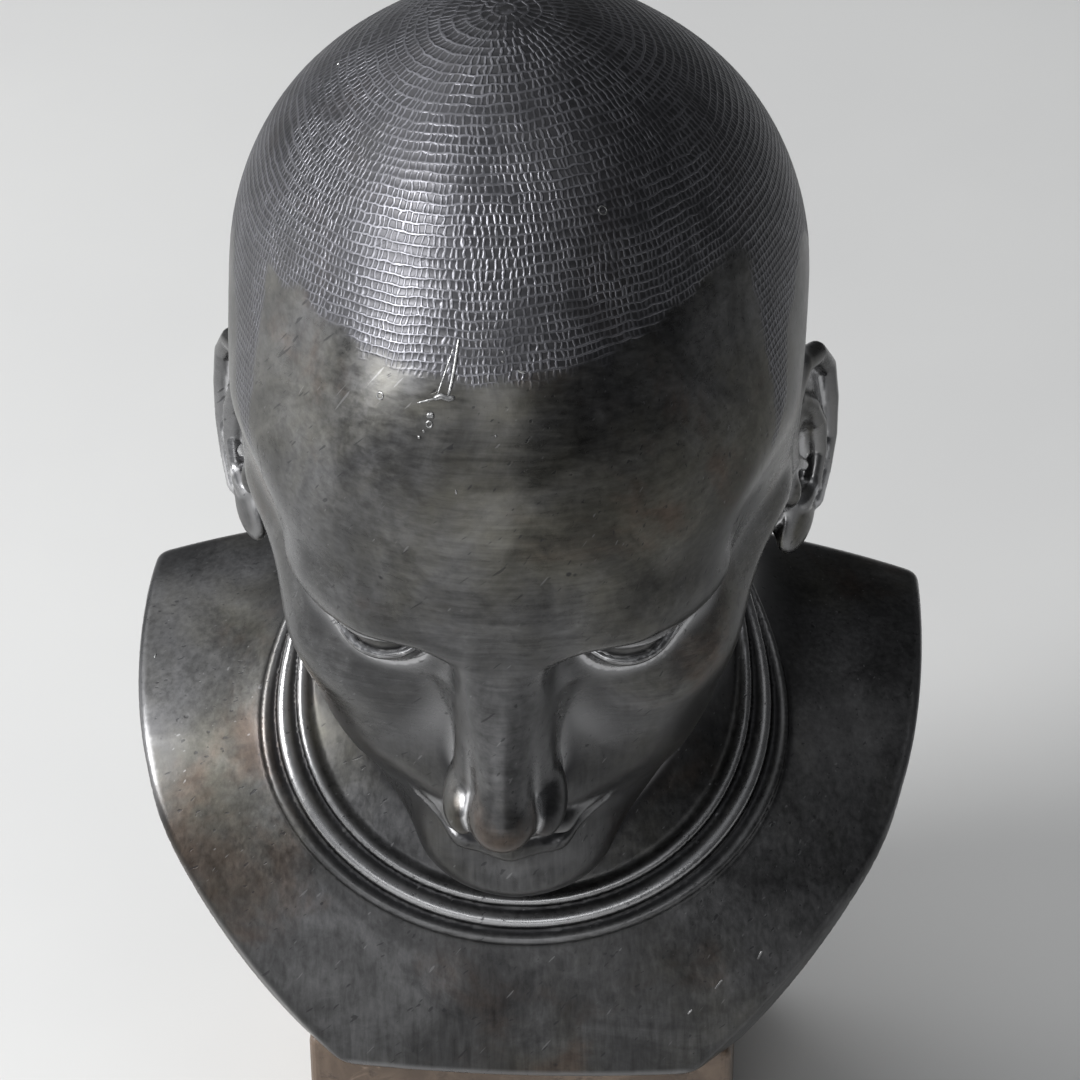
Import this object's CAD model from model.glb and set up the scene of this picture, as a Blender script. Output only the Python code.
import math

import bmesh
import bpy
import numpy as np
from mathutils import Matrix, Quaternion, Vector


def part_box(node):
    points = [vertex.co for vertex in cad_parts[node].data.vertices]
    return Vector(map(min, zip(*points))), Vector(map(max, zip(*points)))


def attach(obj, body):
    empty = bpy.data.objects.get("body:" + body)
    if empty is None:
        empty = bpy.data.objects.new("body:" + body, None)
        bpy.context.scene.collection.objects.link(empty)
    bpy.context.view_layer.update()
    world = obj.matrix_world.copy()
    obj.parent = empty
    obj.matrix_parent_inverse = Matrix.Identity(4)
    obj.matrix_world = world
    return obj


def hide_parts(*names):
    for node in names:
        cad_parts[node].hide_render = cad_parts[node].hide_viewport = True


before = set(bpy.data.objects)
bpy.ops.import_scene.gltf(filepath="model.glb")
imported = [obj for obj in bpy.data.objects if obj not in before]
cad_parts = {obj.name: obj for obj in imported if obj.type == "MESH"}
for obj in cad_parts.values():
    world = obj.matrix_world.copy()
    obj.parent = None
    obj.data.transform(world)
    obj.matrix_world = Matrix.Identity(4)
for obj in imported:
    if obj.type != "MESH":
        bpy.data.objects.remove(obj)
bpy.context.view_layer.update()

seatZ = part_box("bust")[0].z  # underside of the casting

# sizes in metres, angles in radians; ahead and up are measured from the middle of the seat
bustSize = {
    # chest
    "shoulderWidth": 0.236, "seatWidth": 0.116, "chestReach": 0.069, "chestDepth": 0.110,
    "chestBreadth": 0.450, "shoulderHeight": 0.114, "taper": math.radians(37), "backReach": 0.067,
    "wallRadius": 0.900, "backLean": math.radians(7), "rimDepth": 0.0135, "rimFlare": 0.9,
    "rimHeight": 0.075, "rimRound": 0.0024, "shoulderRound": 0.016, "backRound": 0.008,
    # neck and head
    "neckFillet": 0.030, "chinFillet": 0.006, "neckWidth": 0.118, "neckDepth": 0.106, "neckBack": 0.026,
    "neckLength": 0.112, "headWidth": 0.160, "headDepth": 0.200, "headHeight": 0.232,
    "bow": math.radians(17), "earsForward": 0.009, "earsUp": 0.193,
    # rolls round the neck
    "rollRadius": 0.0605, "rollTilt": math.radians(40), "rollForward": 0.0054, "rollUp": 0.091,
    "rollPitch": 0.0058, "rollRelief": 0.0029,
}
# each roll: place across the neck and half width, both in pitches, share of the relief
neckRolls = [(-0.98, 0.33, 0.80), (0, 0.44, 1.00), (1.02, 0.32, 0.66)]

# lumps of clay: x, forward, up, half width, half depth, half height, softness of the join
# ropes of clay: start x, forward, up, thickness, then the same at the end, softness
# the head is drawn from the middle of the line between the ears
headClay = {
    "drawn": (1.6, 2, 2.32),  # width, depth and height of the drawing
    "vault": (0, -0.10, 0.44, 0.73, 0.90, 0.95, 0.10),
    "middle": [
        (0, 0.44, 0.42, 0.60, 0.50, 0.60, 0.22),  # forehead
        (0, -0.55, 0.12, 0.55, 0.42, 0.42, 0.20),  # back of skull
        (0, -0.30, -0.15, 0.56, 0.48, 0.40, 0.20),  # skull base
        (0, 0.34, -0.12, 0.54, 0.46, 0.56, 0.18),  # mid face
        (0, 0.76, -0.14, 0.15, 0.17, 0.34, 0.10),  # nose root
        (0, 0.60, -0.48, 0.35, 0.36, 0.26, 0.14),  # upper jaw
        (0, 0.60, -0.74, 0.30, 0.33, 0.20, 0.12),  # lower jaw
        (0, 0.36, -0.70, 0.38, 0.40, 0.18, 0.16),  # mouth floor
        (0, 0.80, -0.89, 0.21, 0.17, 0.14, 0.10),  # chin
    ],
    "sides": [
        (0.30, -0.22, 0.52, 0.47, 0.58, 0.58, 0.20),  # side of vault
        (0.36, 0.20, 0.34, 0.37, 0.42, 0.42, 0.20),  # temple
        (0.34, 0.02, 0.04, 0.38, 0.44, 0.40, 0.18),  # ear root
        (0.38, 0.50, -0.14, 0.24, 0.27, 0.20, 0.14),  # cheekbone
        (0.34, 0.42, -0.42, 0.22, 0.32, 0.32, 0.24),  # cheek
    ],
    "ropes": [
        (0.50, 0.56, -0.06, 0.09, 0.66, 0.16, -0.02, 0.08, 0.12),  # cheek to ear
        (0.54, 0.02, -0.12, 0.12, 0.50, 0.05, -0.60, 0.11, 0.14),  # jaw branch
        (0.49, 0.06, -0.60, 0.11, 0.16, 0.74, -0.89, 0.10, 0.16),  # jaw edge
        (0.08, 0.855, 0.255, 0.070, 0.32, 0.800, 0.305, 0.062, 0.16),  # brow
        (0.32, 0.800, 0.305, 0.062, 0.56, 0.60, 0.225, 0.065, 0.16),
        (0.030, 0.86, 0.12, 0.070, 0.065, 0.985, -0.27, 0.080, 0.11),  # nose side
    ],
    "hollows": [
        (0.90, 0.60, 0.18, 0.24, 0.30, 0.26, 0.22),  # temple
        (0.32, 0.89, 0.125, 0.17, 0.12, 0.125, 0.07),  # eye socket
        (0, 1.06, -0.775, 0.22, 0.12, 0.055, 0.08),  # under the lip
    ],
    "nose": [
        (0, 0.90, 0.14, 0.062, 0, 1.13, -0.25, 0.070, 0.09),
        (0, 1.12, -0.28, 0.090, 0, 1.04, -0.37, 0.050, 0.04),
    ],
    "wing": (0.112, 1.02, -0.325, 0.062, 0.110, 0.078, 0.04),
    "nostril": (0.062, 1.065, -0.400, 0.030, 0.062, 0.045, 0.02),
    "lips": [
        (0, 0.965, -0.548, 0.050, 0.14, 0.920, -0.572, 0.042, 0.03),
        (0.14, 0.920, -0.572, 0.042, 0.25, 0.815, -0.600, 0.022, 0.03),
        (0, 0.950, -0.660, 0.060, 0.12, 0.915, -0.648, 0.052, 0.03),
        (0.12, 0.915, -0.648, 0.052, 0.24, 0.815, -0.610, 0.022, 0.03),
    ],
    "mouth": [
        (0, 1.015, -0.602, 0.014, 0.12, 0.975, -0.606, 0.014, 0.025),
        (0.12, 0.975, -0.606, 0.014, 0.27, 0.845, -0.600, 0.014, 0.025),
    ],
    "lipGroove": (0, 1.025, -0.44, 0.028, 0, 1.040, -0.515, 0.030, 0.04),
}

eyeClay = {
    "x": 0.32, "forward": 0.695, "up": 0.13, "radius": 0.130, "corner": 0.05, "turn": math.radians(12),
    "lid": 0.022, "upperRise": math.radians(16), "lowerDrop": math.radians(27),
}

# the ear's own plane: back from its root, up along it, out of its face
earClay = {
    "root": (0.735, 0.09, -0.08), "lean": math.radians(12), "spread": math.radians(22),
    "topSpread": math.radians(-5),
    "plate": (0.16, 0.05, -0.015, 0.165, 0.25, 0.032, 0.05),
    "back": (0.09, -0.03, -0.08, 0.13, 0.22, 0.095, 0.05),
    "lobe": (0.08, -0.235, -0.010, 0.10, 0.085, 0.036, 0.05),
    "bowl": (0.125, -0.03, 0.03, 0.085, 0.125, 0.072, 0.03),
    "knobs": [(0.020, -0.05, 0.012, 0.030, 0.055, 0.035, 0.04),
              (0.115, -0.155, 0.010, 0.040, 0.028, 0.026, 0.03)],
    # back, up, thickness
    "rim": [(0.11, -0.03, 0.020), (0.03, 0.06, 0.030), (0.01, 0.17, 0.033), (0.06, 0.265, 0.034),
            (0.16, 0.305, 0.034), (0.255, 0.27, 0.033), (0.31, 0.18, 0.031), (0.315, 0.06, 0.029),
            (0.29, -0.06, 0.027), (0.24, -0.15, 0.025), (0.18, -0.22, 0.022)],
    "fold": [(0.17, -0.15, 0.026), (0.225, -0.07, 0.026), (0.235, 0.03, 0.027), (0.20, 0.12, 0.027),
             (0.13, 0.20, 0.020)],
}


def unit(vector):
    return vector / np.linalg.norm(vector)


def press(clay, more, soft):
    # two lumps of clay as one, with a soft join
    near = np.maximum(soft - np.abs(clay - more), 0) / soft
    return np.minimum(clay, more) - near * near * soft / 4


def hollow(clay, out, soft):
    # clay with another form taken out of it
    return -press(-clay, out, soft)


def lump(x, f, u, m):
    # how far a place is from the surface of the lump in row m
    dx, df, du = x - m[0], f - m[1], u - m[2]
    reach = np.sqrt((dx / m[3]) ** 2 + (df / m[4]) ** 2 + (du / m[5]) ** 2)
    slope = np.sqrt((dx / m[3] ** 2) ** 2 + (df / m[4] ** 2) ** 2 + (du / m[5] ** 2) ** 2)
    return reach * (reach - 1) / np.maximum(slope, 1e-6)


def rope(x, f, u, r):
    # the same for the rope in row r
    rx, rf, ru = r[4] - r[0], r[5] - r[1], r[6] - r[2]
    dx, df, du = x - r[0], f - r[1], u - r[2]
    along = np.clip((dx * rx + df * rf + du * ru) / (rx * rx + rf * rf + ru * ru), 0, 1)
    away = np.sqrt((dx - along * rx) ** 2 + (df - along * rf) ** 2 + (du - along * ru) ** 2)
    return away - r[3] - along * (r[7] - r[3])


def chain(b, a, n, row, level):
    # ropes from each point of a row to the next
    line = None
    for one, two in zip(row[:-1], row[1:]):
        link = rope(b, a, n, (one[0], one[1], level, one[2], two[0], two[1], level, two[2]))
        line = link if line is None else np.minimum(line, link)
    return line


def earField(x, f, u):
    e = earClay
    rise = unit(np.array((math.sin(e["topSpread"]), -math.sin(e["lean"]), math.cos(e["lean"]))))
    back = np.array((math.sin(e["spread"]), -math.cos(e["spread"]), 0.0))
    back = unit(back - rise * np.dot(rise, back))
    out = np.cross(rise, back)
    out *= np.sign(out[0])
    d = (x - e["root"][0], f - e["root"][1], u - e["root"][2])
    b, a, n = (d[0] * w[0] + d[1] * w[1] + d[2] * w[2] for w in (back, rise, out))
    clay = lump(b, a, n, e["plate"])
    clay = press(clay, lump(b, a, n, e["back"]), e["back"][6])
    clay = press(clay, lump(b, a, n, e["lobe"]), e["lobe"][6])
    clay = hollow(clay, lump(b, a, n, e["bowl"]), e["bowl"][6])
    clay = press(clay, chain(b, a, n, e["rim"], 0.012), 0.018)
    clay = press(clay, chain(b, a, n, e["fold"], 0.010), 0.018)
    for m in e["knobs"]:
        clay = press(clay, lump(b, a, n, m), m[6])
    return clay


def eyeField(clay, x, f, u):
    e = eyeClay
    across, ahead, above = x - e["x"], f - e["forward"], u - e["up"]
    away = np.sqrt(across**2 + ahead**2 + above**2)
    ahead = ahead * math.cos(e["turn"]) + across * math.sin(e["turn"]) - e["corner"]
    clay = hollow(clay, away - e["radius"] - e["lid"] / 2, e["lid"] * 2)
    over = above * math.cos(e["upperRise"]) - ahead * math.sin(e["upperRise"])
    under = -above * math.cos(e["lowerDrop"]) - ahead * math.sin(e["lowerDrop"])
    opening = hollow(over, -under, e["lid"] / 2)
    lids = hollow(away - e["radius"] - e["lid"], opening, e["lid"] / 2)
    clay = press(clay, lids, e["lid"] * 1.5)
    return press(clay, away - e["radius"], 0.006)


def headField(x, f, u):
    h = headClay
    side = np.sqrt(x * x + 0.0004)
    clay = lump(x, f, u, h["vault"])
    for m in h["middle"]:
        clay = press(clay, lump(x, f, u, m), m[6])
    for m in h["sides"]:
        clay = press(clay, lump(side, f, u, m), m[6])
    for r in h["ropes"]:
        clay = press(clay, rope(side, f, u, r), r[8])
    for m in h["hollows"]:
        clay = hollow(clay, lump(side, f, u, m), m[6])
    for r in h["nose"]:
        clay = press(clay, rope(x, f, u, r), r[8])
    clay = press(clay, lump(side, f, u, h["wing"]), h["wing"][6])
    clay = hollow(clay, lump(side, f, u, h["nostril"]), h["nostril"][6])
    for r in h["lips"]:
        clay = press(clay, rope(side, f, u, r), r[8])
    for r in h["mouth"]:
        clay = hollow(clay, rope(side, f, u, r), r[8])
    clay = hollow(clay, rope(x, f, u, h["lipGroove"]), h["lipGroove"][8])
    clay = eyeField(clay, side, f, u)
    return press(clay, earField(side, f, u), 0.05)


def chestField(x, f, u):
    s = bustSize
    side = np.sqrt(x * x + 4e-6)
    front = lump(x, f, u, (0, s["chestReach"] - s["chestDepth"], 0, s["chestBreadth"] / 2, s["chestDepth"],
                           s["shoulderHeight"]))
    rim = s["rimDepth"] * np.clip(1 - u / s["rimHeight"], 0, 1)
    flare = s["rimFlare"] * np.clip(-front, 0, rim)
    slant = (side - s["seatWidth"] / 2 - flare) * math.cos(s["taper"]) - u * math.sin(s["taper"])
    arms = hollow(slant, s["shoulderWidth"] / 2 - side, s["shoulderRound"])
    arms = arms + (f * f + (s["rimHeight"] - u) ** 2) / (2 * s["wallRadius"])
    lean = math.tan(s["backLean"]) * np.clip(s["rimHeight"] - u, 0, s["rimHeight"])
    back = lean - f - s["backReach"] + x * x / (2 * s["wallRadius"])
    return hollow(hollow(front, -arms, s["rimRound"]), -back, s["backRound"])


def neckField(x, f, u):
    s = bustSize
    squeeze = s["neckWidth"] / s["neckDepth"]
    top, foot = s["earsForward"] - s["neckBack"] / 2, s["earsForward"] - s["neckBack"]
    half = s["neckWidth"] / 2
    line = (0, foot * squeeze, s["earsUp"] - s["neckLength"], half, 0, top * squeeze, s["earsUp"], half)
    return rope(x, f * squeeze, u, line) / squeeze


def rollField(x, f, u):
    s = bustSize
    df, du = f - s["rollForward"], u - s["rollUp"]
    level = df * math.cos(s["rollTilt"]) - du * math.sin(s["rollTilt"])
    axial = df * math.sin(s["rollTilt"]) + du * math.cos(s["rollTilt"])
    radial = np.sqrt(x * x + level * level) - s["rollRadius"]
    across = (radial - axial) / math.sqrt(2) / s["rollPitch"]
    ridge = sum(height * np.exp(-np.abs((across - place) / width) ** 2.6)
                for place, width, height in neckRolls)
    near = np.clip(1 - ((radial + axial) / (10 * s["rollPitch"])) ** 2, 0, 1)
    return s["rollRelief"] * ridge * near


def headPlace(x, y, z):
    # a place in metres, in the head's own units
    s, (wide, deep, high) = bustSize, headClay["drawn"]
    df, du = -y - s["earsForward"], z - seatZ - s["earsUp"]
    f = (df * math.cos(s["bow"]) - du * math.sin(s["bow"])) * deep / s["headDepth"]
    u = (df * math.sin(s["bow"]) + du * math.cos(s["bow"])) * high / s["headHeight"]
    return x * wide / s["headWidth"], f, u


def fromHead(x, f, u):
    # the way back, from head units to metres
    s, (wide, deep, high) = bustSize, headClay["drawn"]
    f, u = f * s["headDepth"] / deep, u * s["headHeight"] / high
    forward = f * math.cos(s["bow"]) + u * math.sin(s["bow"]) + s["earsForward"]
    height = -f * math.sin(s["bow"]) + u * math.cos(s["bow"]) + s["earsUp"] + seatZ
    return np.stack((x * s["headWidth"] / wide, -forward, height), axis=1)


def bustField(x, y, z):
    # how far a place is outside the bust, or inside where it is below nought
    s, f, u = bustSize, -y, z - seatZ
    clay = press(chestField(x, f, u), neckField(x, f, u), s["neckFillet"]) - rollField(x, f, u)
    head = headField(*headPlace(x, y, z)) * s["headDepth"] / headClay["drawn"][1]
    return hollow(press(clay, head, s["chinFillet"]), u, s["rimRound"])


def sampleClay(field, low, high, cell):
    # the field on a grid, worked out finely only in the blocks near the surface
    block = 4
    sides = [math.ceil((b - a) / (cell * block)) for a, b in zip(low, high)]
    axes = [(np.arange(n * block) - (n * block - 1) / 2) * cell + (a + b) / 2
            for n, a, b in zip(sides, low, high)]
    rough = field(*np.meshgrid(*[a.reshape(-1, block).mean(axis=1) for a in axes], indexing="ij"))
    values = rough.repeat(block, 0).repeat(block, 1).repeat(block, 2)
    blocks = values.reshape(sides[0], block, sides[1], block, sides[2], block).transpose(0, 2, 4, 1, 3, 5)
    near = np.abs(rough) < 1.5 * math.sqrt(3) * block * cell / 2
    where = np.argwhere(near)
    xs, ys, zs = (a.reshape(-1, block)[where[:, i]] for i, a in enumerate(axes))
    xs, ys, zs = np.broadcast_arrays(xs[:, :, None, None], ys[:, None, :, None], zs[:, None, None, :])
    blocks[near] = field(xs, ys, zs)
    return values, axes


def slopeOf(field, points, step):
    steps = step * np.eye(3)
    parts = [(field(*(points + e).T) - field(*(points - e).T)) / (2 * step) for e in steps]
    return np.stack(parts, axis=1)


def clayNormal(points):
    normal = slopeOf(bustField, points, 0.0002)
    return normal / np.maximum(np.sqrt((normal**2).sum(axis=1)), 1e-9)[:, None]


def skinClay(field, low, high, cell):
    # one point in each cell that the surface crosses, one face across each crossed edge
    values, axes = sampleClay(field, low, high, cell)
    inside = values < 0
    shape = tuple(n - 1 for n in values.shape)
    corners = [(i, j, k) for i in (0, 1) for j in (0, 1) for k in (0, 1)]
    filled = sum(inside[tuple(slice(c, c + n) for c, n in zip(at, shape))].astype(np.int8)
                 for at in corners)
    crossed = (filled > 0) & (filled < 8)
    number = np.full(shape, -1)
    number[crossed] = np.arange(crossed.sum())
    cells = np.argwhere(crossed)
    total, hits = np.zeros((len(cells), 3)), np.zeros(len(cells))
    for at in corners:
        for axis in range(3):
            if at[axis]:
                continue
            step = np.eye(3, dtype=int)[axis]
            first, second = values[tuple((cells + at).T)], values[tuple((cells + at + step).T)]
            cut = (first < 0) != (second < 0)
            share = np.where(cut, first / np.where(cut, first - second, 1), 0)
            total += (np.array(at) + step * share[:, None]) * cut[:, None]
            hits += cut
    points = (cells + total / hits[:, None]) * cell + [a[0] for a in axes]
    slope = slopeOf(field, points, cell / 20)
    slope /= np.maximum((slope**2).sum(axis=1), 0.2)[:, None]
    for turn in range(3):
        move = slope * field(*points.T)[:, None]
        length = np.sqrt((move**2).sum(axis=1))
        points = points - move * np.minimum(1, cell / 3 / np.maximum(length, 1e-12))[:, None]
    faces = []
    for axis in range(3):
        lower = tuple(slice(0, -1) if i == axis else slice(None) for i in range(3))
        upper = tuple(slice(1, None) if i == axis else slice(None) for i in range(3))
        cut = inside[lower] != inside[upper]
        edges = np.argwhere(cut)
        one, two = np.eye(3, dtype=int)[(axis + 1) % 3], np.eye(3, dtype=int)[(axis + 2) % 3]
        around = (edges, edges - one, edges - one - two, edges - two)
        quads = np.stack([number[tuple(r.T)] for r in around], axis=1)
        flip = ~inside[lower][cut]
        quads[flip] = quads[flip][:, ::-1]
        faces.append(quads)
    return np.round(points, 6), np.concatenate(faces)


def meshFrom(name, points, faces):
    mesh = bpy.data.meshes.new(name)
    mesh.vertices.add(len(points))
    mesh.vertices.foreach_set("co", points.astype(np.float32).ravel())
    mesh.loops.add(faces.size)
    mesh.loops.foreach_set("vertex_index", faces.astype(np.int32).ravel())
    mesh.polygons.add(len(faces))
    mesh.polygons.foreach_set("loop_start", np.arange(0, faces.size, faces.shape[1], dtype=np.int32))
    mesh.update(calc_edges=True)
    mesh.validate()
    return mesh


def addPiece(name, mesh):
    piece = bpy.data.objects.new(name, mesh)
    bpy.context.collection.objects.link(piece)
    return piece


def ramp(value, low, high):
    t = np.clip((value - low) / (high - low), 0, 1)
    return t * t * (3 - 2 * t)


# small helpers for material nodes; i0, i1 and so on name a socket by its place
nodeSettings = ("operation", "attribute_name", "voronoi_dimensions", "feature")


def putNode(tree, kind, **values):
    node = tree.nodes.new("ShaderNode" + kind)
    for key, value in values.items():
        if key in nodeSettings:
            setattr(node, key, value)
        else:
            setInput(tree, node, key, value)
    return node


def setInput(tree, node, key, value):
    numbered = key[:1] == "i" and key[1:].isdigit()
    socket = node.inputs[int(key[1:]) if numbered else key.replace("_", " ")]
    if isinstance(value, bpy.types.NodeSocket):
        tree.links.new(value, socket)
    else:
        socket.default_value = value


def calc(tree, operation, a, b=None, c=None):
    node = putNode(tree, "Math", operation=operation)
    for i, value in enumerate((a, b, c)):
        if value is not None:
            setInput(tree, node, "i" + str(i), value)
    return node.outputs[0]


def sway(tree, value, amount, base):
    # the base moved up and down by a noise
    return calc(tree, "MULTIPLY_ADD", calc(tree, "SUBTRACT", value, 0.5), amount, base)


def fade(tree, value, low, high, fromValue=0.0, toValue=1.0):
    node = putNode(tree, "MapRange", Value=value, From_Min=low, From_Max=high, To_Min=fromValue,
                   To_Max=toValue)
    node.interpolation_type = "SMOOTHSTEP"
    return node.outputs[0]


def mixColor(tree, factor, a, b, blend="MIX"):
    node = tree.nodes.new("ShaderNodeMix")
    node.data_type, node.blend_type = "RGBA", blend
    for i, value in ((0, factor), (6, a), (7, b)):
        setInput(tree, node, "i" + str(i), value)
    return node.outputs[2]


def grain(tree, place, scale, detail=2.0, rough=0.5, warp=0.0, stretch=None):
    if stretch:
        place = putNode(tree, "Mapping", Vector=place, Scale=stretch).outputs[0]
    node = putNode(tree, "TexNoise", Vector=place, Scale=scale, Detail=detail, Roughness=rough,
                   Distortion=warp)
    return node.outputs["Fac"]


def attribute(tree, name, output="Fac"):
    return putNode(tree, "Attribute", attribute_name=name).outputs[output]


def newMaterial(name):
    made = bpy.data.materials.new(name)
    made.use_nodes = True
    tree = made.node_tree
    return made, tree, tree.nodes["Principled BSDF"]


def tintOver(tree, tint, place, colour, noise, edges, strength):
    # one more colour where a noise is high
    cover = fade(tree, grain(tree, place, *noise), *edges)
    return mixColor(tree, calc(tree, "MULTIPLY", cover, strength), tint, colour)


# colours are linear; a noise is its scale, detail, roughness and warp
metalLook = {
    "grey": (0.092, 0.092, 0.094, 1), "dark": (0.026, 0.026, 0.028, 1), "bare": (0.260, 0.260, 0.265, 1),
    "worn": (0.52, 0.52, 0.53, 1), "cell": (0.066, 0.066, 0.073, 1), "line": (0.205, 0.205, 0.224, 1),
    # colour, noise, where it starts and is full, strength
    "clouds": [
        ((0.080, 0.076, 0.060, 1), (11.0, 7.0, 0.62, 0.3), (0.42, 0.68), 0.80),  # olive
        ((0.088, 0.062, 0.048, 1), (21.0, 6.0, 0.60, 0.4), (0.54, 0.70), 0.65),  # brown
        ((0.026, 0.026, 0.028, 1), (40.0, 9.0, 0.68, 0.6), (0.50, 0.72), 0.55),  # dark
    ],
    "patches": (27.0, 6.0, 0.62, 1.0), "patchTones": (0.72, 1.25), "chestTone": 0.80,
    "satin": 0.9, "brushed": 1.1,  # how much the two grains vary the tone
    "headFrom": (0.120, 0.150),  # metres over the seat where the chest's finish turns into the head's
    # turn, stretch and least noise of the scratches
    "nicks": ((0.4, 0.9, 0.3), (60.0, 700.0, 800.0), 0.735),
    "cuts": ((1.1, 0.2, 0.8), (60.0, 700.0, 700.0), 0.700),
    # roughness, and what each place adds to it
    "gloss": (0.31, 0.43), "glossBrush": 0.20, "glossSatin": 0.12, "glossHead": -0.05,
    "glossEdge": -0.09, "glossRoll": -0.10, "glossHair": 0.06,
    # heights for the bump, in shares of its depth in metres
    "bump": 0.0004, "brushLift": 0.06, "swirlLift": 0.04, "rippleLift": 0.30, "pitLift": -0.30,
    "cutLift": -0.06, "netLift": 0.40,
}
hairLook = {
    "whorl": (-0.05, -0.40, 1.33), "middle": (0, -0.08, 0.36),  # crown and centre of the rings, head units
    "rowAngle": 0.035, "closeUp": 0.20,  # between two rows at the crown, in radians, and how that narrows
    "rows": 80, "columns": 470, "strokes": 350, "wobble": 0.50, "skew": 0.80, "uneven": 0.75,
    "ridge": 0.00010, "lift": 0.00006, "tuck": 0.0006,  # metres
    # size, speed and count of the waves that the rows wander in
    "waves": [(0.020, 7, 5), (0.007, 24, 7), (0.0022, 70, 8)], "seed": 7,
}


def crownAxes():
    axis = unit(np.array(hairLook["whorl"]) - hairLook["middle"])
    ahead = unit(np.array((0, 1, 0)) - axis * axis[1])
    return np.stack((ahead, np.cross(axis, ahead), axis))


def stray(away):
    # how far the rows of hair wander from plain rings
    chance = np.random.default_rng(hairLook["seed"])
    total = np.zeros_like(away)
    for size, speed, count in hairLook["waves"]:
        for turn in range(count):
            along, way = unit(chance.normal(size=3)), unit(chance.normal(size=3))
            wave = np.sin(away @ along * speed * chance.uniform(0.7, 1.3) + chance.uniform(0, 6.28))
            total += wave[:, None] * way * size / math.sqrt(count)
    return total


def polarFrom(rows):
    # the rows lie closer together away from the crown
    closeUp = hairLook["closeUp"]
    return (np.sqrt(1 + 4 * closeUp * hairLook["rowAngle"] * rows) - 1) / (2 * closeUp)


def hairNet(tree, place):
    # light lines between the cut cells: rows round the crown, uneven short strokes across them
    h = hairLook
    px, py, rows = putNode(tree, "SeparateXYZ", Vector=attribute(tree, "flow", "Vector")).outputs
    rows = sway(tree, grain(tree, place, 300.0, 2.0), h["wobble"], rows)
    row = calc(tree, "FLOOR", rows)
    root = calc(tree, "SQRT", calc(tree, "MULTIPLY_ADD", row, 4 * h["closeUp"] * h["rowAngle"], 1.0))
    polar = calc(tree, "DIVIDE", calc(tree, "SUBTRACT", root, 1.0), 2 * h["closeUp"])
    count = calc(tree, "ROUND", calc(tree, "MULTIPLY", calc(tree, "SINE", polar), float(h["strokes"])))
    turn = calc(tree, "DIVIDE", calc(tree, "ARCTAN2", py, px), 2 * math.pi)
    # 71.3 strokes further from row to row, so that no two rows match
    strokes = calc(tree, "MULTIPLY_ADD", row, 71.3, calc(tree, "MULTIPLY", turn, count))
    strokes = sway(tree, grain(tree, place, 380.0, 1.0), h["skew"], strokes)
    toRow = calc(tree, "PINGPONG", rows, 0.5)
    toStroke = putNode(tree, "TexVoronoi", voronoi_dimensions="1D", feature="DISTANCE_TO_EDGE", W=strokes,
                       Scale=1.0, Randomness=h["uneven"]).outputs["Distance"]
    # here the rows stand out, there the strokes, and some patches are worn
    blend = grain(tree, place, 33.0, 3.0, 0.55, 0.6)
    rowShow = fade(tree, blend, 0.36, 0.52, 0.40, 0.95)
    strokeShow = fade(tree, blend, 0.66, 0.50, 0.45, 0.95)
    worn = fade(tree, grain(tree, place, 90.0, 4.0, 0.6), 0.30, 0.62, 0.35, 1.0)
    rowLine = calc(tree, "MULTIPLY", fade(tree, toRow, 0.18, 0.04), rowShow)
    strokeLine = calc(tree, "MULTIPLY", fade(tree, toStroke, 0.27, 0.07), strokeShow)
    return calc(tree, "MULTIPLY", calc(tree, "MAXIMUM", rowLine, strokeLine), worn)


def scratches(tree, place, turn, stretch, least):
    turned = putNode(tree, "Mapping", Vector=place, Rotation=turn).outputs[0]
    return fade(tree, grain(tree, turned, 1.0, 1.0, 0.5, 0.0, stretch), least, least + 0.05)


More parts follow.
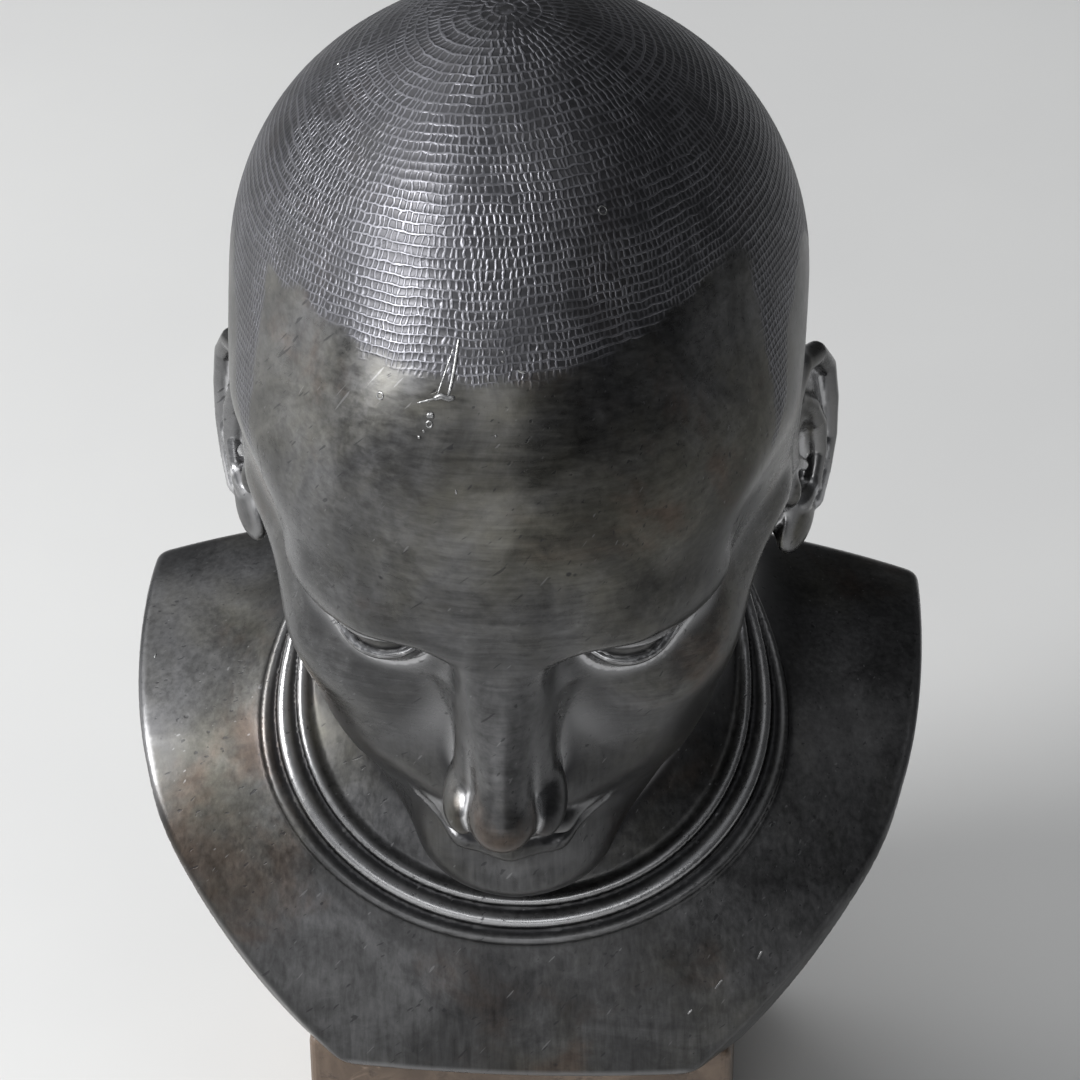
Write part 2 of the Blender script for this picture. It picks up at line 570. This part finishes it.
def castMetal(name, hairy):
    made, tree, shader = newMaterial(name)
    look = metalLook
    place = putNode(tree, "TexCoord").outputs["Object"]
    sunk, proud, rolls = (attribute(tree, kind) for kind in ("sunk", "proud", "rolls"))
    height = putNode(tree, "SeparateXYZ", Vector=place).outputs[2]
    onHead = fade(tree, height, *(seatZ + level for level in look["headFrom"]))

    # olive, brown and dark clouds over lead grey
    tint = look["grey"]
    for colour, noise, edges, strength in look["clouds"]:
        tint = tintOver(tree, tint, place, colour, noise, edges, strength)
    patches = fade(tree, grain(tree, place, *look["patches"]), 0.36, 0.64, *look["patchTones"])
    tint = mixColor(tree, 1.0, tint, patches, "MULTIPLY")
    # satin grain, brushed across the head and up and down the chest
    satin = grain(tree, place, 170.0, 6.0, 0.70, 0.8)
    up = grain(tree, place, 1.0, 3.0, 0.6, 0.3, (620.0, 620.0, 34.0))
    across = grain(tree, place, 1.0, 3.0, 0.6, 0.3, (40.0, 420.0, 560.0))
    brush = calc(tree, "MULTIPLY_ADD", onHead, calc(tree, "SUBTRACT", across, up), up)
    shade = sway(tree, brush, look["brushed"], sway(tree, satin, look["satin"], 1.0))
    tint = mixColor(tree, 1.0, tint, shade, "MULTIPLY")
    tint = mixColor(tree, 1.0, tint, fade(tree, onHead, 0.0, 1.0, look["chestTone"], 1.0), "MULTIPLY")
    # dark in the grooves, rubbed bare on the edges and along the rolls
    tint = mixColor(tree, fade(tree, sunk, 0.12, 0.8, 0.0, 0.85), tint, look["dark"])
    tint = mixColor(tree, fade(tree, proud, 0.28, 0.90, 0.0, 0.75), tint, look["bare"])
    tint = mixColor(tree, fade(tree, proud, 0.80, 1.0, 0.0, 0.70), tint, look["worn"])
    polished = fade(tree, rolls, 0.45, 0.95)
    tint = mixColor(tree, calc(tree, "MULTIPLY", polished, 0.5), tint, look["worn"])
    # pits in patches, light nicks and dark cuts
    pits = putNode(tree, "TexVoronoi", Vector=place, Scale=210.0, Randomness=1.0).outputs["Distance"]
    pitted = fade(tree, grain(tree, place, 60.0, 3.0), 0.62, 0.70)
    pits = calc(tree, "MULTIPLY", fade(tree, pits, 0.22, 0.08), pitted)
    tint = mixColor(tree, calc(tree, "MULTIPLY", pits, 0.8), tint, look["dark"])
    nicks = scratches(tree, place, *look["nicks"])
    tint = mixColor(tree, calc(tree, "MULTIPLY", nicks, 0.30), tint, look["bare"])
    cuts = scratches(tree, place, *look["cuts"])
    tint = mixColor(tree, calc(tree, "MULTIPLY", cuts, 0.60), tint, look["dark"])

    gloss = fade(tree, grain(tree, place, 18.0, 7.0, 0.62), 0.3, 0.7, *look["gloss"])
    gloss = sway(tree, brush, look["glossBrush"], gloss)
    gloss = sway(tree, satin, look["glossSatin"], gloss)
    for value, key in ((onHead, "glossHead"), (proud, "glossEdge"), (polished, "glossRoll")):
        gloss = calc(tree, "MULTIPLY_ADD", value, look[key], gloss)
    lift = calc(tree, "MULTIPLY", grain(tree, place, 320.0, 4.0, 0.65, 1.5), look["swirlLift"])
    ripple = grain(tree, place, 55.0, 2.0, 0.5)
    for value, key in ((brush, "brushLift"), (ripple, "rippleLift"), (pits, "pitLift"), (cuts, "cutLift")):
        lift = calc(tree, "MULTIPLY_ADD", value, look[key], lift)
    if hairy:
        # the cut hair, ragged along its edge
        hair = sway(tree, grain(tree, place, 120.0, 4.0), 1.5, attribute(tree, "hair"))
        hair = fade(tree, hair, 0.20, 0.80)
        tint = mixColor(tree, calc(tree, "MULTIPLY", hair, 0.75), tint, look["cell"])
        net = calc(tree, "MULTIPLY", hairNet(tree, place), hair)
        tint = mixColor(tree, net, tint, look["line"])
        gloss = calc(tree, "MULTIPLY_ADD", hair, look["glossHair"], gloss)
        lift = calc(tree, "MULTIPLY_ADD", net, look["netLift"], lift)
    setInput(tree, shader, "Base_Color", tint)
    setInput(tree, shader, "Roughness", gloss)
    shader.inputs["Metallic"].default_value = 0.95
    bump = putNode(tree, "Bump", Height=lift, Distance=look["bump"], Strength=1.0)
    setInput(tree, shader, "Normal", bump.outputs[0])
    return made


# small beads and ribs of metal left by the casting
markLook = {"grey": (0.13, 0.13, 0.13, 1), "bright": (0.30, 0.30, 0.30, 1), "gloss": (0.34, 0.24)}


def paleMetal():
    made, tree, shader = newMaterial("paleMetal")
    place = putNode(tree, "TexCoord").outputs["Object"]
    worn = fade(tree, grain(tree, place, 700.0, 4.0, 0.6), 0.35, 0.65)
    setInput(tree, shader, "Base_Color", mixColor(tree, worn, markLook["grey"], markLook["bright"]))
    setInput(tree, shader, "Roughness", fade(tree, worn, 0.0, 1.0, *markLook["gloss"]))
    shader.inputs["Metallic"].default_value = 0.95
    return made


stoneLook = {
    "brown": (0.100, 0.070, 0.050, 1), "light": (0.225, 0.165, 0.120, 1), "dark": (0.050, 0.034, 0.028, 1),
    "pale": (0.400, 0.300, 0.230, 1), "gloss": (0.28, 0.44), "bump": 0.00025,
}


def stoneMaterial():
    made, tree, shader = newMaterial("brownStone")
    look = stoneLook
    place = putNode(tree, "TexCoord").outputs["Object"]
    veins = fade(tree, grain(tree, place, 18.0, 8.0, 0.62, 2.0), 0.35, 0.68)
    tint = mixColor(tree, veins, look["brown"], look["light"])
    flecks = fade(tree, grain(tree, place, 240.0, 3.0, 0.6), 0.55, 0.72)
    tint = mixColor(tree, calc(tree, "MULTIPLY", flecks, 0.5), tint, look["dark"])
    tint = tintOver(tree, tint, place, look["pale"], (90.0, 5.0, 0.6, 1.0), (0.62, 0.75), 0.45)
    gloss = fade(tree, grain(tree, place, 60.0, 4.0), 0.3, 0.7, *look["gloss"])
    lift = calc(tree, "MULTIPLY", grain(tree, place, 500.0, 3.0), 0.3)
    lift = calc(tree, "ADD", lift, calc(tree, "MULTIPLY", flecks, -0.4))
    bump = putNode(tree, "Bump", Height=lift, Distance=look["bump"], Strength=1.0)
    setInput(tree, shader, "Base_Color", tint)
    setInput(tree, shader, "Roughness", gloss)
    setInput(tree, shader, "Normal", bump.outputs[0])
    return made


# the hair's edge in head units: its height over the brow by the angle from straight ahead, the front
# of each sideburn by height, and its lower side past the ear to the nape by how far forward
hairEdge = {
    "brow": [(-180, 0.80), (-100, 0.80), (-80, 0.90), (-66, 0.96), (-52, 1.00), (-40, 1.03), (-25, 1.05),
             (-9, 1.07), (10, 1.068), (26, 1.066), (38, 1.052), (52, 1.041), (68, 1.016), (83, 0.99),
             (100, 0.93), (120, 0.80), (180, 0.80)],
    "left": [(0.50, 0.44), (0.62, 0.36), (0.71, 0.28), (0.83, 0.17), (0.95, 0.08)],
    "right": [(0.50, 0.38), (0.60, 0.31), (0.775, 0.19), (0.90, 0.11), (1.00, 0.04)],
    "lower": [(-1.30, -0.46), (-0.80, -0.40), (-0.50, -0.24), (-0.36, 0.30), (-0.22, 0.66), (-0.12, 0.73),
              (0.12, 0.67), (0.30, 0.53), (0.42, 0.48)],
}


def outOfHair(x, f, u):
    # how far each point of the head lies outside the hair
    around = np.degrees(np.arctan2(x, f - 0.02))
    brow = u - np.interp(around, *zip(*hairEdge["brow"]))
    front = np.where(x < 0, np.interp(u, *zip(*hairEdge["left"])), np.interp(u, *zip(*hairEdge["right"])))
    lower = u - np.interp(f, *zip(*hairEdge["lower"]))
    return press(-brow, hollow(f - front, lower, 0.04), 0.06)


def putValues(mesh, name, values):
    kind, key = ("FLOAT", "value") if values.ndim == 1 else ("FLOAT_VECTOR", "vector")
    layer = mesh.attributes.new(name, kind, "POINT")
    layer.data.foreach_set(key, values.astype(np.float32).ravel())


def putPatina(mesh, points, normal):
    # sunk and proud places, read from the clay just outside and just inside the surface
    sunk, proud = np.zeros(len(points)), np.zeros(len(points))
    for reach, weight in ((0.0015, 0.4), (0.004, 0.6)):
        sunk += weight * np.clip(1 - bustField(*(points + normal * reach).T) / reach, 0, 1) * 2
        proud += weight * np.clip(1 + bustField(*(points - normal * reach).T) / reach, 0, 1) * 2
    putValues(mesh, "sunk", np.clip(sunk, 0, 1))
    putValues(mesh, "proud", np.clip(proud, 0, 1))


def pointsOf(mesh):
    values = np.empty(len(mesh.vertices) * 3, np.float32)
    mesh.vertices.foreach_get("co", values)
    return values.reshape(-1, 3).astype(float)


castingMesh = {"cell": 0.00115, "quickCell": 0.0022, "mostTriangles": 195000}


def makeCasting():
    cell = castingMesh["cell"]
    low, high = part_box("bust")
    edge = 4 * cell
    reach = max(-low.x, high.x) + edge
    first, last = (-reach, low.y - edge, low.z - edge), (reach, high.y + edge, high.z + edge)
    points, faces = skinClay(bustField, first, last, cell)
    print("casting:", len(points), "points")
    piece = addPiece("casting", meshFrom("casting", points, faces))
    most = castingMesh["mostTriangles"]
    if len(faces) * 2 > most:
        thin = piece.modifiers.new("thin", "DECIMATE")
        thin.ratio = most / (2 * len(faces))
        slim = bpy.data.meshes.new_from_object(piece.evaluated_get(bpy.context.evaluated_depsgraph_get()))
        piece.modifiers.clear()
        piece.data = slim
    mesh = piece.data
    mesh.shade_smooth()
    points = pointsOf(mesh)
    normal = clayNormal(points)
    putPatina(mesh, points, normal)
    rolls = rollField(points[:, 0], -points[:, 1], points[:, 2] - seatZ) / bustSize["rollRelief"]
    putValues(mesh, "rolls", rolls * (bustField(*points.T) > -0.001))
    mesh.normals_split_custom_set_from_vertices(normal.tolist())
    mesh.materials.clear()
    mesh.materials.append(castMetal("patinatedCasting", False))
    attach(piece, "root")
    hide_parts("bust")


def makeHair():
    # a skin of rings round the crown, four to a row; its edge dips under the casting at the hairline
    h = hairLook
    columns = h["columns"]
    phases, heights = (0.0, 0.16, 0.5, 0.84), (1.0, 0.15, 0.0, 0.15)  # where in its row, share of the ridge
    rings = [(row + phase, height) for row in range(h["rows"]) for phase, height in zip(phases, heights)]
    rings = np.array(rings[1:])
    turns = np.arange(columns) * 2 * math.pi / columns
    polar, turn = (a.ravel() for a in np.meshgrid(polarFrom(rings[:, 0]), turns, indexing="ij"))
    goal = np.stack((np.sin(polar) * np.cos(turn), np.sin(polar) * np.sin(turn), np.cos(polar)), axis=1)
    goal = goal @ crownAxes()
    away = goal
    for step in range(5):
        away = goal - stray(away)
        away /= np.linalg.norm(away, axis=1)[:, None]
    flow = (away + stray(away)) @ crownAxes().T
    flow[:, 2] = np.repeat(rings[:, 0], columns)
    # out along each ray to the clay
    reach = np.full(len(away), 1.0)
    middle = np.array(h["middle"])
    for step in range(7):
        reach -= headField(*(middle + away * reach[:, None]).T) * 0.98
    out = outOfHair(*(middle + away * reach[:, None]).T)
    mask, kept = ramp(-out, -0.050, 0.030), ramp(-out, -0.085, -0.070)
    ridge = np.repeat(rings[:, 1], columns) * h["ridge"]
    unitLength = bustSize["headDepth"] / headClay["drawn"][1]
    reach += (h["lift"] * kept + ridge * mask - h["tuck"] * (1 - kept)) / unitLength
    points = fromHead(*(middle + away * reach[:, None]).T)
    # quads between the rings and nothing well below the hairline
    ringStart = np.arange(len(rings) - 1)[:, None] * columns
    here = np.arange(columns)
    beside = (here + 1) % columns
    quads = np.stack(np.broadcast_arrays(ringStart + here, ringStart + beside, ringStart + columns + beside,
                                         ringStart + columns + here), axis=2).reshape(-1, 4)
    quads = quads[kept[quads].max(axis=1) > 0.001]
    used = np.unique(quads)
    number = np.full(len(points), -1)
    number[used] = np.arange(len(used))
    mesh = meshFrom("hairRows", points[used], number[quads][:, ::-1])
    print("hair rows:", len(used), "points")
    # one face closes the first ring at the crown
    crown = bmesh.new()
    crown.from_mesh(mesh)
    crown.verts.ensure_lookup_table()
    crown.faces.new([crown.verts[i] for i in range(columns)])
    bmesh.ops.recalc_face_normals(crown, faces=crown.faces)
    crown.to_mesh(mesh)
    crown.free()
    mesh.shade_smooth()
    putValues(mesh, "flow", flow[used])
    putValues(mesh, "hair", mask[used])
    # below the hair the skin shades as the casting does, so its edge doesn't show
    outward = clayNormal(points[used])
    putPatina(mesh, points[used], outward)
    shaded = np.empty(len(used) * 3, np.float32)
    mesh.vertex_normals.foreach_get("vector", shaded)
    share = mask[used][:, None]
    shaded = shaded.reshape(-1, 3) * share + outward * (1 - share)
    mesh.normals_split_custom_set_from_vertices(shaded.tolist())
    mesh.materials.append(castMetal("cutHair", True))
    piece = addPiece("hairRows", mesh)
    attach(piece, "root")


# beads and ribs of metal on the skin, in millimetres from the middle of the seat: half width, height,
# then the points along each one; a ring has one point and a radius
castingMarks = [
    (0.55, 0.32, [(-10.1, -93.3, 284.3), (-10.8, -96.6, 279.6), (-11.7, -99.6, 274.8),
                  (-12.7, -101.6, 271.1)]),
    (0.28, 0.15, [(-11.4, -94.5, 282.0), (-13.8, -98.4, 275.8), (-15.6, -100.9, 271.1)]),
    (0.85, 0.45, [(-16.6, -101.1, 270.3), (-14.5, -101.1, 271.3), (-12.4, -101.8, 270.9),
                  (-10.8, -101.8, 271.6)]),
    (0.30, 0.22, [(-16.0, -101.1, 270.5), (-18.7, -100.9, 269.4), (-20.8, -100.6, 268.5)]),
    (0.95, 0.45, [(-18.3, -103.0, 266.6), (-17.3, -103.1, 266.4), (-16.2, -103.2, 266.6)]),
    (0.50, 0.25, [(-20.6, -105.1, 260.8), (-19.8, -105.1, 260.8)]),
    (0.35, 0.20, [(-19.2, -104.6, 262.9), (-18.7, -104.6, 262.0)]),
    (0.30, 0.20, [(-0.2, -107.2, 263.7), (0.2, -107.2, 263.1)]),
    (0.25, 0.16, [(-10.4, -111.9, 249.2), (-10.2, -111.9, 247.8)]),
    (0.35, 0.22, [(1.3, -95.8, 282.3), (1.5, -96.2, 281.7)]),
    (0.35, 0.22, [(1.0, -97.3, 280.1), (1.8, -97.4, 279.9)]),
    (0.40, 0.22, [(5.2, -98.4, 278.0), (7.4, -98.7, 277.5)]),
    (0.45, 0.28, [(-48.3, -7.2, 312.2), (-47.3, -7.2, 312.5)]),
    (0.40, 0.25, [(31.0, 8.5, 320.6), (31.6, 8.5, 320.5)]),
    (0.35, 0.14, [(58.0, -61.2, 30.6), (60.2, -59.9, 33.4)]),
    (0.35, 0.14, [(70.2, -56.4, 38.6), (71.6, -55.6, 41.2)]),
    (0.30, 0.12, [(50.2, -64.0, 22.9), (51.5, -63.4, 24.4)]),
    (0.40, 0.16, [(-110.9, 9.8, 93.6), (-111.2, 8.4, 93.2)]),
    (0.28, 0.20, [(-30.8, -96.2, 267.3), 0.9]),
    (0.28, 0.20, [(-17.4, -103.9, 264.2), 0.8]),
    (0.30, 0.20, [(25.9, -66.9, 307.2), 1.1]),
]
markMesh = {"around": 8, "onRing": 14, "onRib": 15}


def ontoClay(points):
    for step in range(6):
        normal = clayNormal(points)
        points = points - normal * bustField(*points.T)[:, None]
    return points, clayNormal(points)


def markRoute(row):
    # points along the mark, how full it is at each, and whether it closes on itself
    if not isinstance(row[-1], tuple):
        middle, normal = ontoClay(np.array([row[0]]) / 1000 + (0, 0, seatZ))
        side = unit(np.cross(normal[0], (0, 0, 1)))
        rise = np.cross(side, normal[0])
        count = markMesh["onRing"]
        turn = np.arange(count)[:, None] * 2 * math.pi / count
        return middle + (side * np.cos(turn) + rise * np.sin(turn)) * row[1] / 1000, np.ones(count), True
    row = np.array(row) / 1000 + (0, 0, seatZ)
    run = np.concatenate(([0], np.cumsum(np.sqrt((np.diff(row, axis=0) ** 2).sum(axis=1)))))
    share = (1 - np.cos(np.linspace(0, math.pi, markMesh["onRib"]))) / 2
    points = np.stack([np.interp(share * run[-1], run, row[:, i]) for i in range(3)], axis=1)
    return points, np.sqrt(np.maximum(1 - (2 * share - 1) ** 6, 0.004)), False


def makeMarks():
    around = markMesh["around"]
    allPoints, allFaces, start = [], [], 0
    for halfWidth, high, row in castingMarks:
        route, full, closed = markRoute(row)
        route, normal = ontoClay(route)
        if closed:
            along = np.roll(route, -1, axis=0) - np.roll(route, 1, axis=0)
        else:
            along = np.gradient(route, axis=0)
        side = np.cross(normal, along)
        side /= np.maximum(np.sqrt((side**2).sum(axis=1)), 1e-9)[:, None]
        turn = np.arange(around) * 2 * math.pi / around
        ring = side[:, None] * np.cos(turn)[None, :, None] * halfWidth / 1000
        ring = ring + normal[:, None] * np.sin(turn)[None, :, None] * high / 1000
        allPoints.append((route[:, None] + ring * full[:, None, None]).reshape(-1, 3))
        count = len(route)
        here = np.arange(count if closed else count - 1)[:, None]
        beside = (here + 1) % count
        spot = np.arange(around)
        after = (spot + 1) % around
        quads = np.stack(np.broadcast_arrays(here * around + spot, beside * around + spot,
                                             beside * around + after, here * around + after), axis=2)
        allFaces.append(quads.reshape(-1, 4) + start)
        start += count * around
    mesh = meshFrom("castingMarks", np.concatenate(allPoints), np.concatenate(allFaces))
    shape = bmesh.new()
    shape.from_mesh(mesh)
    bmesh.ops.holes_fill(shape, edges=[e for e in shape.edges if e.is_boundary], sides=around)
    bmesh.ops.recalc_face_normals(shape, faces=shape.faces)
    shape.to_mesh(mesh)
    shape.free()
    mesh.shade_smooth()
    mesh.materials.append(paleMetal())
    piece = addPiece("castingMarks", mesh)
    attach(piece, "root")


makeCasting()
print("casting done")
makeHair()
print("hair done")
makeMarks()
print("marks done")

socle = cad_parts["socle"]
for slot in socle.material_slots:
    slot.material = stoneMaterial()
print("socle done")

# floor, light and camera; angles in degrees, azimuth from straight ahead towards the right
studio = {
    "floor": (0.73, 0.73, 0.72, 1), "floorCloud": (0.685, 0.685, 0.68, 1), "floorHalf": 6,
    "distance": 1.45, "azimuth": 3.5, "elevation": 37.5, "roll": -0.65, "sensor": 36,
    "pixels": 1080, "pixelsPerMetre": 3550, "aim": (0.0062, -0.009, seatZ + 0.193), "aimDrop": 0.0306,
    # the dim room is lighter on the left
    "roomTone": (0.95, 0.97, 1.0, 1), "roomLeft": (-0.90, -0.20, 0.38), "roomLight": (0.09, 0.60),
}
lampAim = (0, 0, 0.26)
# azimuth, elevation, distance, width, height, brightness
lamps = {
    "key": (-66, 32, 1.5, 0.50, 0.80, 19.0),
    "window": (-122, 48, 1.6, 1.30, 1.30, 1.3),
    "overhead": (50, 70, 1.6, 1.10, 1.10, 0.4),
    "front": (-5, 24, 1.9, 0.60, 0.50, 3.1),
    "bounce": (-12, -8, 0.9, 0.70, 0.28, 1.2),
    "side": (-97, -5, 1.2, 0.80, 0.40, 1.5),
}


def wayTo(azimuth, elevation):
    a, e = math.radians(azimuth), math.radians(elevation)
    return Vector((math.sin(a) * math.cos(e), -math.cos(a) * math.cos(e), math.sin(e)))


def makeFloor():
    made, tree, shader = newMaterial("paleFloor")
    place = putNode(tree, "TexCoord").outputs["Object"]
    shade = fade(tree, grain(tree, place, 3.0, 5.0), 0.3, 0.7)
    setInput(tree, shader, "Base_Color", mixColor(tree, shade, studio["floor"], studio["floorCloud"]))
    shader.inputs["Roughness"].default_value = 0.9
    shape = bmesh.new()
    bmesh.ops.create_grid(shape, x_segments=1, y_segments=1, size=studio["floorHalf"])
    mesh = bpy.data.meshes.new("floor")
    shape.to_mesh(mesh)
    shape.free()
    floor = addPiece("floor", mesh)
    mesh.materials.append(made)


def makeLamp(name, azimuth, elevation, distance, wide, high, brightness):
    lamp = bpy.data.lights.new(name, "AREA")
    lamp.shape, lamp.size, lamp.size_y = "RECTANGLE", wide, high
    lamp.energy = brightness * math.pi * wide * high
    made = bpy.data.objects.new(name, lamp)
    made.location = Vector(lampAim) + wayTo(azimuth, elevation) * distance
    made.rotation_euler = (Vector(lampAim) - made.location).to_track_quat("-Z", "Y").to_euler()
    made.visible_camera = False
    bpy.context.collection.objects.link(made)


def makeCamera():
    lens = bpy.data.cameras.new("camera")
    camera = bpy.data.objects.new("camera", lens)
    bpy.context.collection.objects.link(camera)
    back = wayTo(studio["azimuth"], studio["elevation"])
    e = math.radians(studio["elevation"])
    up = Vector((0, math.sin(e), math.cos(e)))
    aim = Vector(studio["aim"]) - up * studio["aimDrop"]
    lens.sensor_width = studio["sensor"]
    lens.lens = studio["sensor"] / studio["pixels"] * studio["pixelsPerMetre"] * studio["distance"]
    camera.location = aim + back * studio["distance"]
    level = (-back).to_track_quat("-Z", "Y")
    camera.rotation_euler = (level @ Quaternion((0, 0, 1), math.radians(studio["roll"]))).to_euler()
    bpy.context.scene.camera = camera


def makeWorld():
    world = bpy.data.worlds.new("studio")
    bpy.context.scene.world = world
    world.use_nodes = True
    tree = world.node_tree
    room = tree.nodes["Background"]
    way = putNode(tree, "TexCoord").outputs["Generated"]
    left = putNode(tree, "VectorMath", operation="DOT_PRODUCT", i0=way, i1=studio["roomLeft"])
    room.inputs["Color"].default_value = studio["roomTone"]
    setInput(tree, room, "Strength", fade(tree, left.outputs["Value"], -0.2, 0.9, *studio["roomLight"]))


makeFloor()
for name, row in lamps.items():
    makeLamp(name, *row)
makeWorld()
bpy.context.scene.view_settings.view_transform = "Standard"
makeCamera()
print("studio done")
